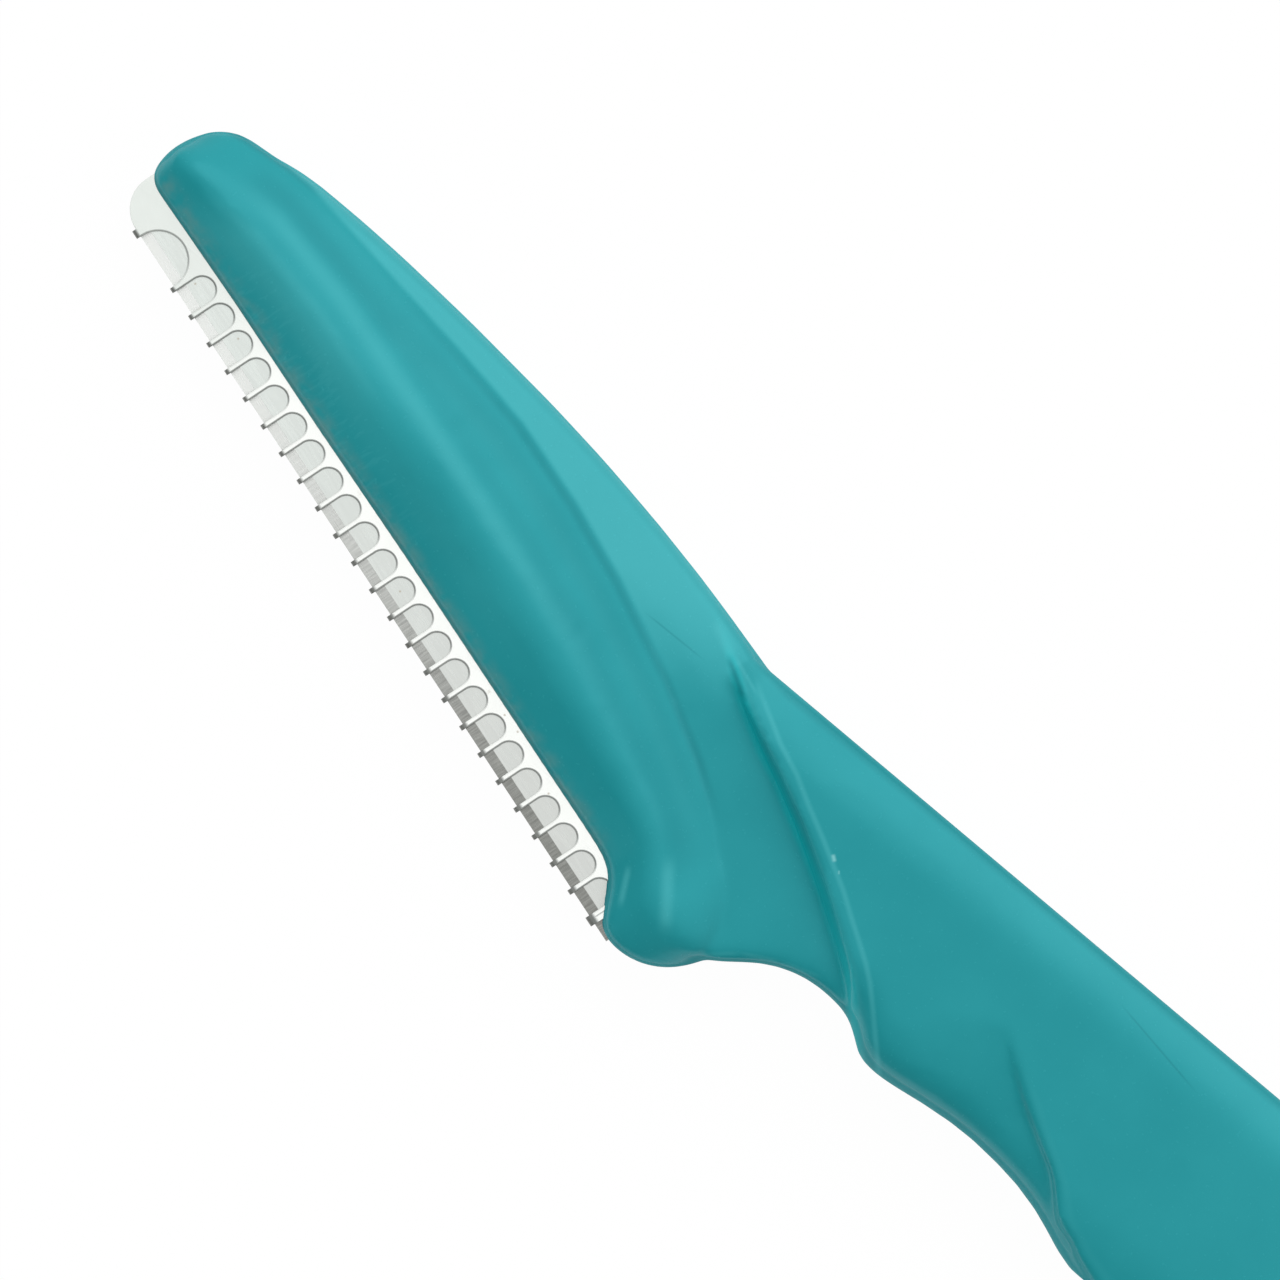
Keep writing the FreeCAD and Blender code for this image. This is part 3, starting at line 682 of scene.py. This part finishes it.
def makeGuardSteel():
    material, tree, shader, coords, head, axes = startMaterial("rolledGuardSteel")
    towardsTip = ramp(tree, axes["X"], *guardSteel["tone"])
    colour = mixColour(tree, towardsTip, guardSteel["heel"], guardSteel["tip"])
    dull = noiseBetween(tree, head, guardSteel["patchScale"], steel["dull"], 1.0)
    colour = mixColour(tree, 1.0, colour, dull, "MULTIPLY")
    stains = place(tree, grain, Vector=head, Scale=guardSteel["stainScale"])["Height"]
    spots = ramp(tree, stains, *guardSteel["stainFrom"], 0.0, guardSteel["stainStrength"])
    colour = mixColour(tree, spots, colour, steel["stain"])
    colour = mixColour(tree, place(tree, brownSpecks, Vector=head)["Mask"], colour, steel["stain"])

    # Painted shade: a shadow round the windows, the folded finger ends that turn from the light, and the cut
    # walls that face sideways
    hookEnd = ramp(tree, axes["X"], *guardSteel["hookAlong"], *guardSteel["hookDepth"])
    past = mathNode(tree, "SUBTRACT", hookEnd, axes["Y"])
    hook = ramp(tree, past, -guardSteel["hookSoft"], guardSteel["hookSoft"], 0.0, guardSteel["hookShade"])
    shade = mathNode(tree, "MAXIMUM", place(tree, windowShadow, Vector=head)["Mask"], hook)
    wall = steepMask(tree, *guardSteel["wallFrom"], guardSteel["wallShade"])
    shade = mathNode(tree, "MAXIMUM", shade, wall)
    tree.links.new(mixColour(tree, shade, colour, steel["dark"]), shader["Base Color"])
    tree.links.new(mathNode(tree, "SUBTRACT", 1.0, shade), shader["Metallic"])

    rough = noiseBetween(tree, head, guardSteel["fineScale"], *guardSteel["roughness"])
    tree.links.new(rough, shader["Roughness"])
    fine = place(tree, grain, Vector=head, Scale=guardSteel["fineScale"])["Height"]
    marks = place(tree, scratches, Vector=coords, Density=guardSteel["scratched"])["Mask"]
    normal = bumpFrom(tree, shader, fine, *guardSteel["fineBump"])
    bumpFrom(tree, shader, marks, *guardSteel["scratchBump"], normal)
    return material


def drawRound(form, start, centre, axis, angle, steps):
    # Spins one vertex into an arc, and gives the arc's other end
    arc = bmesh.ops.spin(form, geom=[start], cent=centre, axis=axis, angle=angle, steps=steps)
    return next(item for item in arc["geom_last"] if isinstance(item, bmesh.types.BMVert))


def joinUp(form, verts):
    for pair in zip(verts, verts[1:]):
        form.edges.new(pair)


def archOutline(form, middle, width, depth):
    # A window's outline with a round head, open past the edge
    radius = width / 2
    top = depth - radius
    low = -guard["overrun"]
    first = form.verts.new((middle + radius, top, low))
    last = drawRound(form, first, (middle, top, low), (0, 0, 1), math.pi, guard["archSteps"])
    corners = [form.verts.new((middle + reach, low, low)) for reach in (-radius, radius)]
    joinUp(form, [last, *corners, first])


def cornerOutline(form):
    # What is cut off to round the guard's corner at the tip
    radius = guard["tipRadius"]
    low = -guard["overrun"]
    inside = guard["tip"] - radius
    outside = guard["tip"] + guard["overrun"]
    start = form.verts.new((inside, 0, low))
    end = drawRound(form, start, (inside, radius, low), (0, 0, 1), math.pi / 2, guard["cornerSteps"])
    beyond = ((outside, radius, low), (outside, low, low), (inside, low, low))
    joinUp(form, [end, *[form.verts.new(corner) for corner in beyond], start])


def makeCutter():
    form = bmesh.new()
    width = guard["pitch"] - guard["finger"]
    for index in range(guard["count"]):
        archOutline(form, (index - 0.5) * guard["pitch"], width, guard["windowDepth"])
    last = (guard["count"] - 1) * guard["pitch"] + guard["finger"] / 2
    archOutline(form, last + guard["endWidth"] / 2, guard["endWidth"], guard["endDepth"])
    cornerOutline(form)
    bmesh.ops.remove_doubles(form, verts=form.verts, dist=guard["merge"])
    bmesh.ops.edgenet_fill(form, edges=form.edges)
    raised = bmesh.ops.extrude_face_region(form, geom=list(form.faces))
    tops = [item for item in raised["geom"] if isinstance(item, bmesh.types.BMVert)]
    bmesh.ops.translate(form, verts=tops, vec=(0, 0, 2 * guard["overrun"]))
    bmesh.ops.recalc_face_normals(form, faces=form.faces)
    return linkMesh("guardCuts", form)


def foldSheet():
    form = bmesh.new()
    half = guard["outerHalf"]
    heel = guard["heel"]
    back = form.verts.new((heel, guard["depth"], half))
    turnStart = form.verts.new((heel, 0, half))
    joinUp(form, [back, turnStart])
    turnEnd = drawRound(form, turnStart, (heel, 0, 0), (1, 0, 0), math.pi, guard["foldSteps"])
    joinUp(form, [turnEnd, form.verts.new((heel, guard["depth"], -half))])
    bmesh.ops.remove_doubles(form, verts=form.verts, dist=guard["merge"])
    strip = bmesh.ops.extrude_edge_only(form, edges=form.edges)
    ends = [item for item in strip["geom"] if isinstance(item, bmesh.types.BMVert)]
    bmesh.ops.translate(form, verts=ends, vec=(guard["tip"] - heel, 0, 0))
    bmesh.ops.recalc_face_normals(form, faces=form.faces)
    return linkMesh("guardSheet", form)


def makeGuard():
    sheet = foldSheet()
    cutter = makeCutter()
    wall = sheet.modifiers.new("thickness", "SOLIDIFY")
    wall.thickness = guard["thickness"]
    wall.use_even_offset = True
    punch = sheet.modifiers.new("windows", "BOOLEAN")
    punch.operation = "DIFFERENCE"
    punch.solver = "EXACT"
    punch.object = cutter
    burr = sheet.modifiers.new("rolledEdges", "BEVEL")
    burr.width = guard["burr"]
    burr.segments = guard["burrSegments"]
    burr.limit_method = "ANGLE"
    burr.angle_limit = math.radians(guard["burrAngle"])
    settle(sheet)
    bpy.data.objects.remove(cutter)
    sheet.data.transform(headMatrix())
    # The flat leaves keep their own normals, and only the fold and the rolled edges are smooth
    for face in sheet.data.polygons:
        face.use_smooth = abs(face.normal.z) < guard["flat"]
    dress(sheet, makeGuardSteel(), "guard")
    return sheet


guardPiece = makeGuard()
print("guard made", len(guardPiece.data.polygons))

# The blade's finish, from the heel to the tip. Its bevel is ground, so it has thin lines across the edge, and
# its tone is a
# painted reflection: dark at the heel, and near white and not metal towards the tip. Places are in mm along
# the edge from the heel, and the grain is stretched in mm.
bladeSteel = {
    "heel": (0.62, 0.64, 0.615, 1.0), "tip": (0.67, 0.71, 0.68, 1.0), "tone": (2.0, 24.0),
    "bevelReflectionHeel": (0.46, 0.47, 0.44, 1.0), "bevelReflectionTip": (0.93, 0.95, 0.92, 1.0), "bevelWhiteReflection": 0.75,
    "bevelWidth": 0.4, "bevelSoft": 0.02,
    "groundStretch": (14.0, 0.9, 0.9), "groundTone": (0.78, 1.16), "groundAlong": (24.0, 8.0),
    "rolledStretch": (0.8, 9.0, 9.0), "roughness": (0.2, 0.3), "groundBump": (0.1, 0.000004),
}


def makeBladeSteel():
    material, tree, shader, coords, head, axes = startMaterial("groundBladeSteel")
    along = mathNode(tree, "MULTIPLY", axes["X"], -1.0)
    towardsTip = ramp(tree, along, *bladeSteel["tone"])
    grinding = stretched(tree, head, bladeSteel["groundStretch"])
    rolling = stretched(tree, head, bladeSteel["rolledStretch"])

    # The bevel's tone is a painted reflection, dark at the heel and near white at the tip, and the grinding
    # lines go over it
    bevelColour = mixColour(tree, towardsTip, bladeSteel["bevelReflectionHeel"], bladeSteel["bevelReflectionTip"])
    lines = noiseBetween(tree, grinding, 1.0, *bladeSteel["groundTone"])
    lined = mixColour(tree, 1.0, bevelColour, lines, "MULTIPLY")
    bevelColour = mixColour(tree, ramp(tree, along, *bladeSteel["groundAlong"]), bevelColour, lined)
    faceColour = mixColour(tree, towardsTip, bladeSteel["heel"], bladeSteel["tip"])
    dull = noiseBetween(tree, rolling, 1.0, steel["dull"], 1.0)
    faceColour = mixColour(tree, 1.0, faceColour, dull, "MULTIPLY")
    width, soft = bladeSteel["bevelWidth"], bladeSteel["bevelSoft"]
    bevel = ramp(tree, axes["Y"], width + soft, width - soft)
    colour = mixColour(tree, bevel, faceColour, bevelColour)
    colour = mixColour(tree, place(tree, brownSpecks, Vector=head)["Mask"], colour, steel["stain"])
    # Painted shadow inside the windows
    shade = place(tree, windowShadow, Vector=head)["Mask"]
    tree.links.new(mixColour(tree, shade, colour, steel["dark"]), shader["Base Color"])

    # Towards the tip the bevel is no metal, so that its painted white reflection shows
    paintedLight = mathNode(tree, "MULTIPLY", mathNode(tree, "MULTIPLY", bevel, towardsTip), bladeSteel["bevelWhiteReflection"])
    metal = mathNode(tree, "SUBTRACT", 1.0, mathNode(tree, "MAXIMUM", paintedLight, shade))
    tree.links.new(metal, shader["Metallic"])
    tree.links.new(noiseBetween(tree, rolling, 1.0, *bladeSteel["roughness"]), shader["Roughness"])
    ground = place(tree, grain, Vector=grinding, Scale=1.0)["Height"]
    bumpFrom(tree, shader, ground, *bladeSteel["groundBump"])
    return material


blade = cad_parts["blade"]
blade.data.materials.clear()
blade.data.materials.append(makeBladeSteel())
print("blade finished")

# Studio: a pale floor, a soft key from the spine side and an even tent. Lengths are in mm, angles in degrees
# and powers in watts.
studio = {
    "centre": (-15.40, 2.60, 2.5), "frameWidth": 46.08, "lens": 400.0, "sensor": 36.0, "turn": 40.06,
    "clip": (5.0, 20000.0),
    "keyPower": 2.4, "keySize": (800.0, 650.0), "lampDistance": 1000.0, "keyTilt": 31.0, "keyTurn": 22.0,
    "fillPower": 2.6, "fillSize": (420.0, 420.0), "fillTilt": 74.0, "fillTurn": 158.0,
    "white": (1.0, 1.0, 1.0, 1.0), "tentLean": 60.0, "tentFrom": (-0.35, 1.0), "tentLevel": (0.12, 1.5),
    "floorSize": 3000.0, "floorColour": (0.93, 0.93, 0.93, 1.0), "floorRoughness": 0.9, "floorGlow": 0.98,
}


def makeFloor():
    # The floor shows near white, and keeps the object's shadow
    form = bmesh.new()
    bmesh.ops.create_grid(form, x_segments=1, y_segments=1, size=studio["floorSize"] * mm)
    floor = linkMesh("floor", form)
    material = bpy.data.materials.new("paleFloor")
    material.use_nodes = True
    tree = material.node_tree
    shader = tree.nodes["Principled BSDF"]
    shader.inputs["Base Color"].default_value = studio["floorColour"]
    shader.inputs["Roughness"].default_value = studio["floorRoughness"]
    shader.inputs["Specular IOR Level"].default_value = 0.0
    glow = addNode(tree, "ShaderNodeEmission", Color=studio["white"], Strength=1.0)
    seen = 0.0
    path = tree.nodes.new("ShaderNodeLightPath").outputs
    for ray in ("Is Camera Ray", "Is Glossy Ray", "Is Transmission Ray"):
        seen = mathNode(tree, "MAXIMUM", path[ray], seen)
    blend = tree.nodes.new("ShaderNodeMixShader")
    tree.links.new(mathNode(tree, "MULTIPLY", seen, studio["floorGlow"]), blend.inputs["Fac"])
    tree.links.new(shader.outputs["BSDF"], blend.inputs[1])
    tree.links.new(glow.outputs["Emission"], blend.inputs[2])
    tree.links.new(blend.outputs["Shader"], tree.nodes["Material Output"].inputs["Surface"])
    floor.data.materials.append(material)


def makeTent():
    # The tent is brightest on the spine side, over the key's side of the object
    world = bpy.data.worlds.new("studioTent")
    bpy.context.scene.world = world
    world.use_nodes = True
    tree = world.node_tree
    sky = tree.nodes["Background"]
    lean = math.radians(studio["tentLean"])
    nearness = addNode(tree, "ShaderNodeVectorMath", {"operation": "DOT_PRODUCT"})
    nearness.inputs[1].default_value = (0.0, math.sin(lean), math.cos(lean))
    tree.links.new(tree.nodes.new("ShaderNodeTexCoord").outputs["Generated"], nearness.inputs[0])
    level = ramp(tree, nearness.outputs["Value"], *studio["tentFrom"], *studio["tentLevel"])
    tree.links.new(level, sky.inputs["Strength"])
    sky.inputs["Color"].default_value = studio["white"]


def makeSoftbox(name, shines):
    # A lamp that looks at the head, tilted from straight above, with its turn from the spine side. The fill
    # only softens the dark sides, and doesn't show in the gloss.
    lamp = bpy.data.lights.new(name + "Softbox", "AREA")
    lamp.shape = "RECTANGLE"
    lamp.size, lamp.size_y = [size * mm for size in studio[name + "Size"]]
    lamp.energy = studio[name + "Power"]
    box = bpy.data.objects.new(name + "Softbox", lamp)
    tilt = math.radians(studio[name + "Tilt"])
    turn = math.radians(studio[name + "Turn"])
    away = Vector((-math.sin(tilt) * math.sin(turn), math.sin(tilt) * math.cos(turn), math.cos(tilt)))
    box.location = (Vector(studio["centre"]) + away * studio["lampDistance"]) * mm
    box.rotation_euler = away.to_track_quat("Z", "Y").to_euler()
    box.visible_glossy = shines
    bpy.context.scene.collection.objects.link(box)


def makeCamera():
    # A long lens straight above the head, far enough away for the frame to hold the photographed width
    view = bpy.data.cameras.new("photoCamera")
    view.lens = studio["lens"]
    view.sensor_width = studio["sensor"]
    view.clip_start, view.clip_end = [distance * mm for distance in studio["clip"]]
    camera = bpy.data.objects.new("photoCamera", view)
    rise = studio["frameWidth"] * studio["lens"] / studio["sensor"]
    camera.location = (Vector(studio["centre"]) + Vector((0, 0, rise))) * mm
    camera.rotation_euler = (0.0, 0.0, math.radians(studio["turn"]))
    bpy.context.scene.collection.objects.link(camera)
    bpy.context.scene.camera = camera


makeFloor()
makeTent()
makeSoftbox("key", True)
makeSoftbox("fill", False)
makeCamera()
bpy.context.scene.view_settings.view_transform = "Standard"
print("studio ready")
